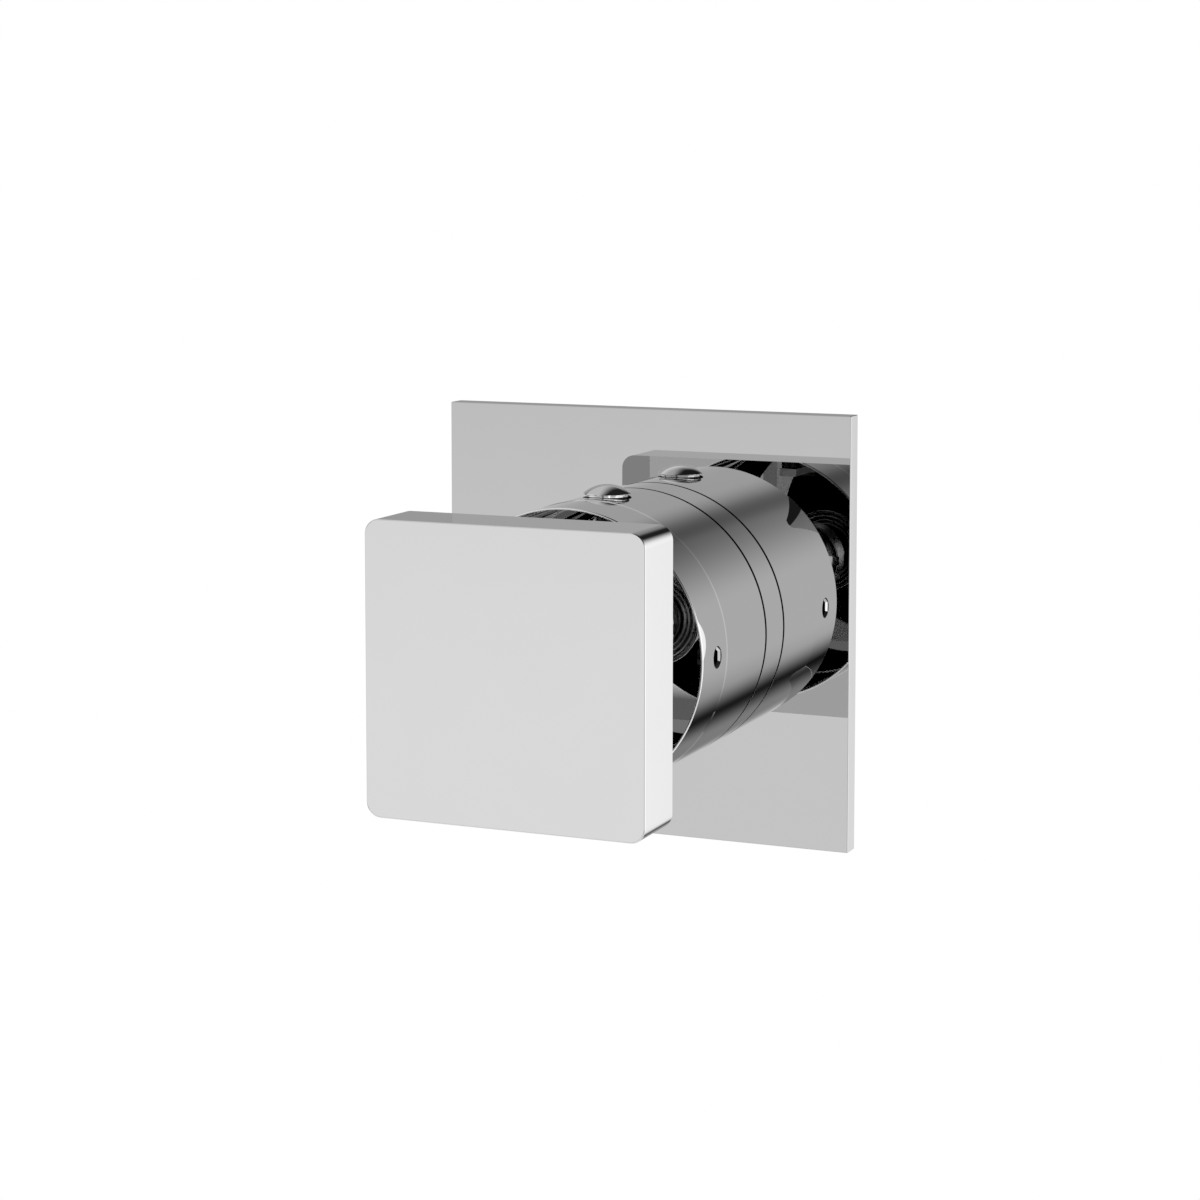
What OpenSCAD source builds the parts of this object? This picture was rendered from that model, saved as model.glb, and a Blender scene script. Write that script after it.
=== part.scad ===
// Shower trim set: square wall plate, fixed collar, hollow temperature drum with a
// safety button, and a square flow knob carried on a tube through the drum.
// Axes: x to the right, z up, the wall face is y = 0 and the set stands out to -y.

/* [Wall plate] */
// side of the square plate
plate_w = 100; // [84:1:140]
// thickness of the plate
plate_t = 4.8; // [4.6:0.1:7]

/* [Drum] */
// outside diameter of collar and sleeve
drum_d = 64.4; // [62:0.2:70]
// length of the fixed collar in front of the plate
collar_len = 5.6; // [5:0.1:9]
// plate front to the polished floor inside the drum, past the collar
floor_len = 3.5; // [2.8:0.1:5]
// plate front to the seam between sleeve and ring
seam_pos = 30.9; // [29:0.1:34]
// plate front to the rim
rim_pos = 45.7; // [44:0.1:56]
// thickness of the drum shell
shell_t = 0.6; // [0.55:0.05:1]

/* [Button] */
// diameter of the domed cap
button_d = 10.7; // [9.6:0.1:12]
// plate front to the middle of the button
button_pos = 22.5; // [21.5:0.1:24]
// how far the button goes in
button_travel = 1.3; // [0.8:0.1:1.5]

/* [Side screw] */
// plate front to the middle of the screw
screw_pos = 36.8; // [36:0.1:38]
// diameter of the screw
screw_d = 4.9; // [4:0.1:6]
// across flats of its socket
screw_key = 3.5; // [2:0.5:4]

/* [Knob] */
// side of the square knob
knob_w = 64; // [56:1:80]
// thickness of the knob
knob_t = 15.2; // [12:0.1:20]
// radius of its four corners
knob_corner = 3.3; // [2:0.1:6]
// rim of the drum to the back of the knob
knob_gap = 17.35; // [12:0.05:30]
// outside diameter of the tube behind the knob
tube_d = 22.3; // [20:0.1:26]

/* [Node] */
// one node by name, or all of them

/* [Hidden] */
$fn = 96;

chrome = [0.82, 0.83, 0.85];
steel = [0.66, 0.67, 0.69];
brass = [0.80, 0.66, 0.38];
rubber = [0.10, 0.10, 0.11];
nylon = [0.88, 0.87, 0.83];

// distances out from the wall
front = plate_t;
collar_end = front + collar_len;
run_gap = 0.9;
floor_back = collar_end + run_gap;
floor_front = collar_end + floor_len;
seam = front + seam_pos;
rim = front + rim_pos;
knob_rear = rim + knob_gap;
knob_front = knob_rear + knob_t;

// the round sizes of the valve and of what sits on it go with the drum
drum_r = drum_d / 2;
valve = drum_d / 64.4;

// plate
pocket_edge = 3;
pocket_deep = 2;
recess_r = 27 * valve;
web_t = 1.4;
nut_r = recess_r - 2 * valve;
nut_t = 2.8;

// valve neck and the bush that takes it
neck_r = 15 * valve;
bush_r = 18.5 * valve;
flange_t = 1.8;
collar_in = 29.3 * valve;
flange_end = front + flange_t;
oring_mid = 22 * valve;
oring_r = 0.55;

// drum
shell_in = drum_r - shell_t;
ring_r = drum_r - 0.14;
lap_len = 2.5;
lap_r = drum_r - shell_t / 2;
stem_hole_r = 8.4 * valve;

// stop that the latch arm meets
arm_out = 26 * valve;
arm_deep = 2.1;
arm_w = 4.6;
stop_in = arm_out - button_travel + 0.2;
arm_lean = asin((arm_w / 2 + 0.05) / stop_in);
drum_turn = 150;
stop_end = floor_back - 0.5;
ring_in = 22.6 * valve;
plate_stop_t = 1.2;
stop_screw_at = collar_in - 2.6;
tooth_deg = 12;

// hub behind the drum's floor
hub_r = 13.2 * valve;
hub_bore = 10 * valve;
hub_flange_r = 18 * valve;
hub_back = flange_end + 0.3;
hub_screw_at = 15.7 * valve;
spline_r = 8.7 * valve;
stem_r_in = 8 * valve;
nut_out = 9.9 * valve;

// button
spring_wire = 0.3;
spring_mid = 3.6;
spring_turns = 3;
button_z = front + button_pos;
cap_low = drum_r + 0.43;
cap_edge = 0.25;
dome_rise = 1.95;
stem_r = 2.5;
guide_r = 7;
guide_low = drum_r - 3.4;
guide_floor = guide_low + 0.8;
skirt_r = button_d / 2 - 0.6;
skirt_in = spring_mid + spring_wire + 0.2;
skirt_low = guide_floor + button_travel + 0.13;

// tube and spindle of the knob
tube_r = tube_d / 2;
bore_r = 7;
neck_spindle_r = 5.9 * valve;
flow_bore_r = 3.5 * valve;
lining_r = bore_r + 2.15;
bush_len = 7;
tube_rear = floor_front + 15;
spindle_rear = flange_end + 0.3;
neck_step = floor_front + 3.4;
nut_len = 3;
spindle_end = knob_rear - 4;
flange_r = 16;
flange_screw_at = flange_r - 2.6;
back_t = 3;
wall_t = 2.5;
knob_screw_at = knob_rear - 9;

// turns a piece drawn with z pointing out of the wall into its place
module face_out() rotate([90, 0, 0]) children();

// lathe-turned ring between two radii and two distances
module ring(ri, ro, z0, z1) {
    translate([0, 0, z0]) difference() {
        cylinder(r = ro, h = z1 - z0);
        translate([0, 0, -1]) cylinder(r = ri, h = z1 - z0 + 2);
    }
}

// square block with round corners, from z0 to z1
module square_block(w, r, z0, z1) {
    translate([0, 0, z0]) linear_extrude(z1 - z0) rounded(w, r);
}

module rounded(w, r) {
    h = w / 2 - r;
    square([w, w - 2 * r], center = true);
    square([w - 2 * r, w], center = true);
    for (x = [-h, h], y = [-h, h]) translate([x, y]) circle(r = r);
}

// places along a circle round the axis
module around(r, angles) {
    for (a = angles) rotate([0, 0, a]) translate([r, 0, 0]) children();
}

// Pieces fixed to the wall

module wall_plate() color(chrome) face_out() difference() {
    translate([-plate_w / 2, -plate_w / 2, 0]) cube([plate_w, plate_w, plate_t]);
    // fine break of the four front edges
    for (a = [0, 90, 180, 270]) rotate([0, 0, a])
        translate([plate_w / 2, 0, plate_t]) rotate([0, 45, 0])
            cube([0.35, plate_w + 2, 0.35], center = true);
    // pocket for the foam
    translate([0, 0, -1]) linear_extrude(pocket_deep + 1)
        square(plate_w - 2 * pocket_edge, center = true);
    translate([0, 0, -1]) cylinder(r = recess_r, h = plate_t - web_t + 1);
    translate([0, 0, -1]) cylinder(r = bush_r, h = plate_t + 2);
}

module plate_gasket() color(rubber) face_out() difference() {
    w = plate_w - 2 * pocket_edge - 0.4;
    linear_extrude(pocket_deep) square(w, center = true);
    translate([0, 0, -1]) cylinder(r = recess_r, h = pocket_deep + 2);
}

// takes the round neck of the valve and clamps the plate between flange and nut
module mount_bush() color(brass) face_out() difference() {
    rotate_extrude() polygon([
        [neck_r, 0], [bush_r, 0], [bush_r, front], [collar_in, front],
        [collar_in, flange_end], [neck_r, flange_end]]);
    ring(oring_mid - oring_r, oring_mid + oring_r, front - 1, front + 2 * oring_r);
    around(stop_screw_at, [200, 270, 340]) translate([0, 0, front + 0.4]) cylinder(r = 1, h = 3);
}

module back_nut() color(brass) face_out() difference() {
    ring(bush_r, nut_r, plate_t - web_t - nut_t, plate_t - web_t);
    around(nut_r, [45, 135, 225, 315]) translate([0, 0, 1.4])
        cube([3, 4, 4], center = true);
}

module plate_oring() color(rubber) face_out() translate([0, 0, front + oring_r])
    rotate_extrude() translate([oring_mid, 0]) circle(r = oring_r, $fn = 24);

module collar() color(chrome) face_out() rotate_extrude() polygon([
    [collar_in, front], [drum_r, front], [drum_r, collar_end - 0.1],
    [drum_r - 0.1, collar_end], [collar_in, collar_end]]);

// fixed ring with a tooth beside the latch arm at the safe temperature and one at cold
module stop_ring() color(nylon) face_out() difference() {
    union() {
        ring(ring_in, collar_in - 0.4, flange_end, flange_end + plate_stop_t);
        intersection() {
            ring(stop_in, collar_in - 1, flange_end, stop_end);
            for (a = [90 + arm_lean, 90 - tooth_deg - arm_lean - drum_turn]) stop_sector(a);
        }
    }
    around(stop_screw_at, [200, 270, 340]) translate([0, 0, flange_end - 1]) {
        cylinder(r = 1, h = 4);
        translate([0, 0, 1 + plate_stop_t - 0.6]) cylinder(r = 1.9, h = 2);
    }
}

// sector of one tooth
module stop_sector(from) rotate([0, 0, from]) linear_extrude(seam)
    polygon([[0, 0], [drum_d, 0], [drum_d, drum_d * tan(tooth_deg)]]);

module stop_screws() color(steel) face_out()
    around(stop_screw_at, [200, 270, 340]) {
        translate([0, 0, front + 0.4]) cylinder(r = 1, h = flange_t + plate_stop_t - 1);
        translate([0, 0, flange_end + plate_stop_t - 0.6]) difference() {
            cylinder(r = 1.85, h = 0.6);
            translate([0, 0, 0.25]) cylinder(r = 0.8, h = 1, $fn = 6);
        }
    }

// the hub's flange turns inside this ring and the drum's floor runs on its end
module bearing_ring() color(nylon) face_out()
    ring(hub_flange_r + 0.06, ring_in - 0.3, flange_end, floor_back - 0.05);

// Temperature drum

module drum_sleeve() color(chrome) face_out() difference() {
    rotate_extrude() polygon([
        [stem_hole_r, floor_back], [drum_r, floor_back], [drum_r, seam],
        [lap_r, seam], [lap_r, seam - lap_len], [shell_in, seam - lap_len],
        [shell_in, floor_front + 0.25], [shell_in - 0.25, floor_front],
        [stem_hole_r, floor_front]]);
    // hole that the button's cap drops into
    translate([0, 0, button_z]) rotate([-90, 0, 0])
        cylinder(r = button_d / 2 + 0.15, h = drum_r + 1);
    // slot for the latch arm
    translate([-arm_w / 2 - 0.2, arm_out - arm_deep - button_travel - 0.2, floor_back - 1])
        cube([arm_w + 0.4, arm_deep + button_travel + 0.4, floor_len + 2]);
    around(hub_screw_at, [30, 150, 270]) translate([0, 0, floor_back - 1])
        cylinder(r = 1.25, h = 3);
}

module drum_ring() color(chrome) face_out() difference() {
    rotate_extrude() polygon([
        [shell_in, seam - lap_len], [lap_r, seam - lap_len], [lap_r, seam],
        [ring_r, seam], [ring_r, rim - 0.3], [ring_r - 0.05, rim - 0.13],
        [ring_r - 0.16, rim - 0.03], [ring_r - 0.32, rim], [shell_in + 0.06, rim],
        [shell_in, rim - 0.06]]);
    translate([0, 0, front + screw_pos]) rotate([0, 90, 0])
        cylinder(d = screw_d + 0.04, h = drum_r + 1);
}

// strip soldered inside the sleeve; the side screw threads into it and pins the ring
module fixing_tab() color(steel) face_out() difference() {
    intersection() {
        ring(shell_in - 2, shell_in, seam - 9, front + screw_pos + 4.2);
        translate([20, -4.5, seam - 10]) cube([20, 9, 40]);
    }
    translate([0, 0, front + screw_pos]) rotate([0, 90, 0])
        cylinder(d = screw_d, h = drum_r + 1);
}

module set_screw() color(steel) face_out() translate([0, 0, front + screw_pos])
    difference() {
        intersection() {
            rotate([0, 90, 0]) cylinder(d = screw_d, h = drum_r + 1);
            ring(shell_in - 3.4, ring_r - 0.15, -5, 5);
        }
        translate([shell_in - 1.9, 0, 0]) rotate([0, 90, 0]) rotate([0, 0, 30])
            cylinder(d = screw_key / cos(30), h = 6, $fn = 6);
    }

// carries the drum on the valve's hollow temperature stem
module temp_hub() color(brass) face_out() difference() {
    rotate_extrude() polygon([
        [hub_bore, hub_back], [hub_r - 0.4, hub_back], [hub_r, hub_back + 0.4],
        [hub_r, floor_back - 1.6], [hub_flange_r, floor_back - 1.6],
        [hub_flange_r, floor_back], [stem_hole_r, floor_back],
        [stem_hole_r, floor_back - 1.1], [hub_bore, floor_back - 1.1]]);
    around(hub_screw_at, [30, 150, 270]) translate([0, 0, floor_back - 3])
        cylinder(r = 1.25, h = 4);
}

module hub_screws() color(steel) face_out()
    around(hub_screw_at, [30, 150, 270]) {
        translate([0, 0, floor_back - 1.6]) cylinder(r = 1.25, h = 3.5);
        translate([0, 0, floor_back - 2.9]) difference() {
            cylinder(r = 2.2, h = 1.3);
            translate([0, 0, -1]) cylinder(r = 1.2, h = 1.7, $fn = 6);
        }
    }

// toothed sleeve pressed into the hub
module spline_insert() color(steel) face_out() translate([0, 0, hub_back + 0.3])
    linear_extrude(floor_back - 1.4 - hub_back) difference() {
        circle(r = hub_bore);
        circle(r = spline_r);
        for (a = [0 : 15 : 345]) rotate(a) translate([spline_r, 0]) rotate(45)
            square(0.9, center = true);
    }

// screws onto the end of the hollow stem, holds the drum and guides the spindle in its lip
module stem_nut() color(steel) face_out() difference() {
    union() {
        ring(stem_r_in, nut_out, floor_front, floor_front + nut_len);
        ring(neck_spindle_r + 0.06, nut_out - 0.9, floor_front + nut_len - 0.8,
            floor_front + nut_len);
    }
    for (a = [0, 90]) rotate([0, 0, a]) translate([0, 0, floor_front + nut_len])
        cube([2.4 * nut_out, 2.4, 2], center = true);
}

// seat of the button inside the sleeve
module button_guide() color(steel) face_out() translate([0, 0, button_z]) difference() {
    intersection() {
        rotate([-90, 0, 0]) translate([0, 0, guide_low]) cylinder(r = guide_r, h = 10);
        cylinder(r = shell_in, h = 40, center = true);
    }
    rotate([-90, 0, 0]) translate([0, 0, guide_floor])
        cylinder(r = button_d / 2 + 0.15, h = 10);
    rotate([-90, 0, 0]) cylinder(r = stem_r + 0.08, h = 60);
}

// Button: drawn with z pointing up, out of the drum's side

module up_button() face_out() translate([0, 0, button_z]) rotate([-90, 0, 0])
    children();

module button_cap() color(chrome) up_button() difference() {
    foot = button_d / 2 - 0.06;
    dome_r = (pow(foot, 2) + pow(dome_rise, 2)) / (2 * dome_rise);
    union() {
        translate([0, 0, cap_low]) cylinder(r = button_d / 2, h = cap_edge);
        // skirt that hides the spring
        ring(skirt_in, skirt_r, skirt_low, cap_low + 0.1);
        intersection() {
            translate([0, 0, cap_low + cap_edge + dome_rise - dome_r]) sphere(r = dome_r);
            translate([0, 0, cap_low + cap_edge]) cylinder(r = button_d / 2, h = 10);
        }
    }
    // the stem sits in here
    translate([0, 0, cap_low - 1]) cylinder(r = 1.6, h = 2.2);
}

module button_stem() color(steel) up_button() difference() {
    union() {
        translate([0, 0, arm_out - arm_deep]) cylinder(r = stem_r, h = cap_low - arm_out + arm_deep);
        translate([0, 0, cap_low - 0.5]) cylinder(r = 1.6, h = 1.7);
    }
    // groove for the clip and flat seat for the arm
    ring(1.9, 6, guide_low - 0.75, guide_low - 0.1);
    translate([-5, -5, arm_out - arm_deep - 1]) cube([10, 10, arm_deep + 1]);
}

// reaches back through the floor's slot to the stop ring
module latch_arm() color(steel) face_out() {
    translate([-arm_w / 2, arm_out - arm_deep, floor_back - 2.4])
        cube([arm_w, arm_deep, button_z + 2.6 - floor_back + 2.4]);
}

module button_clip() color(steel) up_button() difference() {
    ring(1.9, 3.3, guide_low - 0.7, guide_low - 0.12);
    translate([-0.7, 0, 0]) cube([1.4, 10, 60]);
}

// coil drawn as a swept ring of small faces, between the guide's floor and the cap
module button_spring() color(steel) up_button() {
    steps = 20;
    sides = 6;
    low = guide_floor + spring_wire;
    high = cap_low - spring_wire;
    n = steps * spring_turns;
    points = [for (i = [0 : n], j = [0 : sides - 1])
        let (a = 360 * i / steps, b = 360 * j / sides,
            r = spring_mid + spring_wire * cos(b))
        [r * cos(a), r * sin(a), low + (high - low) * i / n + spring_wire * sin(b)]];
    walls = [for (i = [0 : n - 1], j = [0 : sides - 1])
        [i * sides + j, i * sides + (j + 1) % sides,
            (i + 1) * sides + (j + 1) % sides, (i + 1) * sides + j]];
    first = [for (j = [0 : sides - 1]) sides - 1 - j];
    last = [for (j = [0 : sides - 1]) n * sides + j];
    polyhedron(points, concat([first], walls, [last]));
}

// Flow knob

module flow_spindle() color(brass) face_out() difference() {
    rotate_extrude() polygon([
        [0, spindle_rear], [neck_spindle_r - 0.4, spindle_rear],
        [neck_spindle_r, spindle_rear + 0.4], [neck_spindle_r, neck_step],
        [bore_r - 0.5, neck_step], [bore_r, neck_step + 0.5],
        [bore_r, spindle_end], [0, spindle_end]]);
    translate([0, 0, spindle_rear - 1]) cylinder(r = flow_bore_r, h = 13);
    // dimple for the knob's screw
    translate([0, -bore_r, knob_screw_at]) rotate([90, 0, 0])
        cylinder(r = 2.5, h = 1, center = true);
}

// turned lining ring in the rear end of the tube, with two beads on its face
module tube_bush() color(steel) face_out() rotate_extrude() polygon(concat(
    bead(bore_r, bore_r + 1.2, tube_rear, 0), bead(bore_r + 1.2, lining_r, tube_rear, 1),
    [[lining_r, tube_rear + bush_len], [bore_r, tube_rear + bush_len]]));

// half-round bead from radius a to radius b, its crest at distance d from the wall
function bead(a, b, d, first) = [for (i = [first : 5])
    let (turn = 36 * i, h = (b - a) / 2) [a + h - h * cos(turn), d + h - h * sin(turn)]];

module knob_tube() color(chrome) face_out() difference() {
    edge = 0.45;
    rotate_extrude() polygon(concat(
        bead(lining_r, tube_r - edge - 0.2, tube_rear, 0),
        [for (i = [0 : 4]) let (a = 22.5 * i)
            [tube_r - edge + edge * sin(a), tube_rear + 0.5 + edge * (1 - cos(a))]],
        [[tube_r, knob_rear + back_t], [flange_r, knob_rear + back_t],
        [flange_r, knob_rear + back_t + 2.4], [0, knob_rear + back_t + 2.4],
        [0, spindle_end], [bore_r, spindle_end],
        [bore_r, tube_rear + bush_len], [lining_r, tube_rear + bush_len]]));
    translate([0, 0, knob_screw_at]) rotate([90, 0, 0]) cylinder(r = 2.5, h = 20);
    around(flange_screw_at, [45, 135, 225, 315]) translate([0, 0, knob_rear])
        cylinder(r = 1.25, h = 10);
}

module knob_shell() color(chrome) face_out() difference() {
    intersection() {
        square_block(knob_w, knob_corner, knob_rear, knob_front);
        // fine break of the front edge
        knob_front_break();
    }
    square_block(knob_w - 2 * wall_t, 1.5, knob_rear - 1, knob_front - wall_t);
}

// pyramid-sided envelope that trims 0.4 off the front edge
module knob_front_break() {
    c = 0.4;
    big = knob_w + 2;
    difference() {
        translate([-big / 2, -big / 2, knob_rear - 1]) cube([big, big, knob_t + 1]);
        for (a = [0, 90, 180, 270]) rotate([0, 0, a])
            translate([knob_w / 2, 0, knob_front]) rotate([0, 45, 0])
                cube([c * sqrt(2), big, c * sqrt(2)], center = true);
    }
}

module knob_back() color(chrome) face_out() difference() {
    square_block(knob_w - 2 * wall_t, 1.5, knob_rear, knob_rear + back_t);
    translate([0, 0, knob_rear - 1]) cylinder(r = tube_r, h = back_t + 2);
    around(flange_screw_at, [45, 135, 225, 315]) translate([0, 0, knob_rear + 0.6])
        cylinder(r = 1.25, h = back_t);
}

module flange_screws() color(steel) face_out()
    around(flange_screw_at, [45, 135, 225, 315]) {
        translate([0, 0, knob_rear + 0.6]) cylinder(r = 1.25, h = back_t + 1.8);
        translate([0, 0, knob_rear + back_t + 2.4]) difference() {
            cylinder(r = 2.3, h = 1.4);
            translate([0, 0, 0.6]) cylinder(r = 1.2, h = 2, $fn = 6);
        }
    }

// reached from below, in the gap between drum and knob
module knob_set_screw() color(steel) face_out() translate([0, 0, knob_screw_at])
    rotate([90, 0, 0]) difference() {
        translate([0, 0, bore_r - 0.5]) cylinder(r = 2.5, h = tube_r - bore_r);
        translate([0, 0, tube_r - 2.4]) cylinder(d = 2.5 / cos(30), h = 3, $fn = 6);
    }

wall_plate();
plate_gasket();
mount_bush();
back_nut();
plate_oring();
collar();
stop_ring();
stop_screws();
bearing_ring();
drum_sleeve();
drum_ring();
fixing_tab();
set_screw();
temp_hub();
hub_screws();
spline_insert();
stem_nut();
button_guide();
button_cap();
button_stem();
latch_arm();
button_clip();
button_spring();
flow_spindle();
tube_bush();
knob_tube();
knob_shell();
knob_back();
flange_screws();
knob_set_screw();
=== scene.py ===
import math

import bpy
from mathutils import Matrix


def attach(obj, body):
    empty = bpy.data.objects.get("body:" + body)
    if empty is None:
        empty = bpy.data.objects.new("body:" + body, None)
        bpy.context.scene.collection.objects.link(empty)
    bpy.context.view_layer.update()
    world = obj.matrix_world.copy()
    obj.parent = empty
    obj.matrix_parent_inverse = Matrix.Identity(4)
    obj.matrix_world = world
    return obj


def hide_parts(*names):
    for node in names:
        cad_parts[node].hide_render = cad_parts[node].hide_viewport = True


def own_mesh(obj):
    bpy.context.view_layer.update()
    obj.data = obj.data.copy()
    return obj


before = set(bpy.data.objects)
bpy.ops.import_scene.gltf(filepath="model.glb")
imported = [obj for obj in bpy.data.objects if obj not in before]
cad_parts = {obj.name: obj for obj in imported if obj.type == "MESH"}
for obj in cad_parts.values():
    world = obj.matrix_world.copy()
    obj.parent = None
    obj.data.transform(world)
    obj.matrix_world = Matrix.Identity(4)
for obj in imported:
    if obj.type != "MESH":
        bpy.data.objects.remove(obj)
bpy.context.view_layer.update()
mm = 0.001
nearAxis = 0.02  # smallest radius in mm that an open outline ends on
print("frame loaded:", len(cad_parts), "nodes")


# helpers

def clearSelection():
    if bpy.context.mode != "OBJECT":
        bpy.ops.object.mode_set(mode="OBJECT")
    bpy.ops.object.select_all(action="DESELECT")


def takeUp(piece):
    clearSelection()
    bpy.context.view_layer.objects.active = piece
    piece.select_set(True)


def settle(piece):
    # place goes into the mesh, the object stays at the origin
    takeUp(piece)
    bpy.ops.object.transform_apply(location=True, rotation=True, scale=True)


def useModifier(piece, kind, **settings):
    takeUp(piece)
    step = piece.modifiers.new("step", kind)
    for key, value in settings.items():
        setattr(step, key, value)
    bpy.ops.object.modifier_apply(modifier=step.name)


def pickFaces(piece, test):
    # leaves edit mode with only the faces that pass the test selected
    bpy.ops.object.mode_set(mode="EDIT")
    bpy.ops.mesh.select_mode(type="FACE")
    bpy.ops.mesh.select_all(action="DESELECT")
    bpy.ops.object.mode_set(mode="OBJECT")
    for face in piece.data.polygons:
        face.select = test(face.center / mm, face.normal)
    bpy.ops.object.mode_set(mode="EDIT")


def pickEdges(piece, test):
    bpy.ops.object.mode_set(mode="EDIT")
    bpy.ops.mesh.select_mode(type="EDGE")
    bpy.ops.mesh.select_all(action="DESELECT")
    bpy.ops.object.mode_set(mode="OBJECT")
    points = piece.data.vertices
    for edge in piece.data.edges:
        a, b = (points[i].co / mm for i in edge.vertices)
        edge.select = test(a, b)
    bpy.ops.object.mode_set(mode="EDIT")


axes = {
    "out": ((math.pi / 2, 0, 0), (0, -1, 0)),
    "up": ((0, 0, 0), (0, 0, 1)),
    "down": ((math.pi, 0, 0), (0, 0, -1)),
    "right": ((0, math.pi / 2, 0), (1, 0, 0)),
}


def turned(name, outline, axis="out", centre=(0, 0, 0), sides=256, closed=True):
    # outline is a list of (radius, distance along the axis) in mm, an open one gets end caps
    turn, way = axes[axis]
    clearSelection()
    radius, far = outline[0]
    spot = [(c + w * far) * mm for c, w in zip(centre, way)]
    bpy.ops.mesh.primitive_circle_add(vertices=sides, radius=radius * mm, fill_type="NOTHING",
                                      location=spot, rotation=turn)
    piece = bpy.context.object
    piece.name = piece.data.name = name
    bpy.ops.object.mode_set(mode="EDIT")
    bpy.ops.mesh.select_mode(type="VERT")
    bpy.ops.mesh.select_all(action="SELECT")
    path = outline[1:] + (outline[:1] if closed else [])
    for nextRadius, nextFar in path:
        step = [w * (nextFar - far) * mm for w in way]
        bpy.ops.mesh.extrude_region()
        if nextFar != far:
            bpy.ops.transform.translate(value=step)
        spot = [(c + w * nextFar) * mm for c, w in zip(centre, way)]
        share = nextRadius / radius
        if nextRadius != radius:
            bpy.ops.transform.resize(value=(share, share, share), center_override=spot)
        radius, far = nextRadius, nextFar
    bpy.ops.mesh.select_all(action="SELECT")
    bpy.ops.mesh.remove_doubles(threshold=1e-7)
    if not closed:
        bpy.ops.mesh.fill_holes(sides=0)
    bpy.ops.mesh.select_all(action="SELECT")
    bpy.ops.mesh.normals_make_consistent(inside=False)
    settle(piece)
    return piece


def arc(radius, far, size, start, end, steps=6):
    # points of a part of a circle round (radius, far), angles in degrees
    angles = [math.radians(start + (end - start) * i / steps) for i in range(steps + 1)]
    return [(radius + size * math.cos(a), far + size * math.sin(a)) for a in angles]


def bead(low, high, far):
    # half a round from radius low to radius high, its crest at far
    half = (high - low) / 2
    return arc(low + half, far + half, half, -180, 0, 12)


def block(name, low, high):
    clearSelection()
    middle = [(a + b) / 2 * mm for a, b in zip(low, high)]
    bpy.ops.mesh.primitive_cube_add(size=1, location=middle)
    piece = bpy.context.object
    piece.name = piece.data.name = name
    piece.scale = [(b - a) * mm for a, b in zip(low, high)]
    settle(piece)
    return piece


def cut(piece, tool):
    useModifier(piece, "BOOLEAN", operation="DIFFERENCE", solver="EXACT", object=tool)
    bpy.data.objects.remove(tool)


def soften(piece, size, steps=3):
    useModifier(piece, "BEVEL", width=size * mm, segments=steps, limit_method="ANGLE",
                angle_limit=math.radians(30), use_clamp_overlap=True, miter_outer="MITER_ARC")


def smooth(piece, angle=30):
    takeUp(piece)
    bpy.ops.object.shade_smooth_by_angle(angle=math.radians(angle))
    useModifier(piece, "WEIGHTED_NORMAL", keep_sharp=True, weight=100, mode="FACE_AREA")


def repaint(piece, finish, test):
    # a second finish on the faces that pass the test
    pickFaces(piece, test)
    piece.data.materials.append(finish)
    piece.active_material_index = len(piece.data.materials) - 1
    bpy.ops.object.material_slot_assign()
    clearSelection()


def place(piece, finish, slotName, body, *replaced):
    piece.data.materials.clear()
    piece.data.materials.append(finish)
    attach(piece, body)
    if replaced:
        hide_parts(*replaced)
    return piece


# finishes

def newFinish(name):
    finish = bpy.data.materials.new(name)
    finish.use_nodes = True
    tree = finish.node_tree
    return finish, tree, tree.nodes["Principled BSDF"]


def objectNoise(tree, scale, detail, stretch=(1, 1, 1)):
    spot = tree.nodes.new("ShaderNodeTexCoord")
    turn = tree.nodes.new("ShaderNodeMapping")
    turn.inputs["Scale"].default_value = stretch
    noise = tree.nodes.new("ShaderNodeTexNoise")
    noise.inputs["Scale"].default_value = scale
    noise.inputs["Detail"].default_value = detail
    tree.links.new(spot.outputs["Object"], turn.inputs["Vector"])
    tree.links.new(turn.outputs["Vector"], noise.inputs["Vector"])
    return noise.outputs["Fac"]


def remap(tree, value, low, high, fromLow=0.3, fromHigh=0.7):
    node = tree.nodes.new("ShaderNodeMapRange")
    node.inputs["From Min"].default_value = fromLow
    node.inputs["From Max"].default_value = fromHigh
    node.inputs["To Min"].default_value = low
    node.inputs["To Max"].default_value = high
    tree.links.new(value, node.inputs["Value"])
    return node.outputs["Result"]


def blendColours(tree, factor, dark, light):
    node = tree.nodes.new("ShaderNodeMix")
    node.data_type = "RGBA"
    node.inputs["A"].default_value = (*dark, 1)
    node.inputs["B"].default_value = (*light, 1)
    tree.links.new(factor, node.inputs["Factor"])
    return node.outputs["Result"]


def addBump(tree, shader, height, strength, distance):
    node = tree.nodes.new("ShaderNodeBump")
    node.inputs["Strength"].default_value = strength
    node.inputs["Distance"].default_value = distance
    tree.links.new(height, node.inputs["Height"])
    tree.links.new(node.outputs["Normal"], shader.inputs["Normal"])


def polishedFinish(name, shade, rough):
    # plated and polished: a faint cloud in the plating and in its polish
    finish, tree, shader = newFinish(name)
    shader.inputs["Metallic"].default_value = 1
    cloud = objectNoise(tree, 60, 3)
    light = [min(1, c * 1.01) for c in shade]
    dark = [c * 0.985 for c in shade]
    tree.links.new(blendColours(tree, cloud, dark, light), shader.inputs["Base Color"])
    wipe = objectNoise(tree, 900, 4, (1, 1, 0.25))
    tree.links.new(remap(tree, wipe, rough[0], rough[1]), shader.inputs["Roughness"])
    return finish


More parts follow.
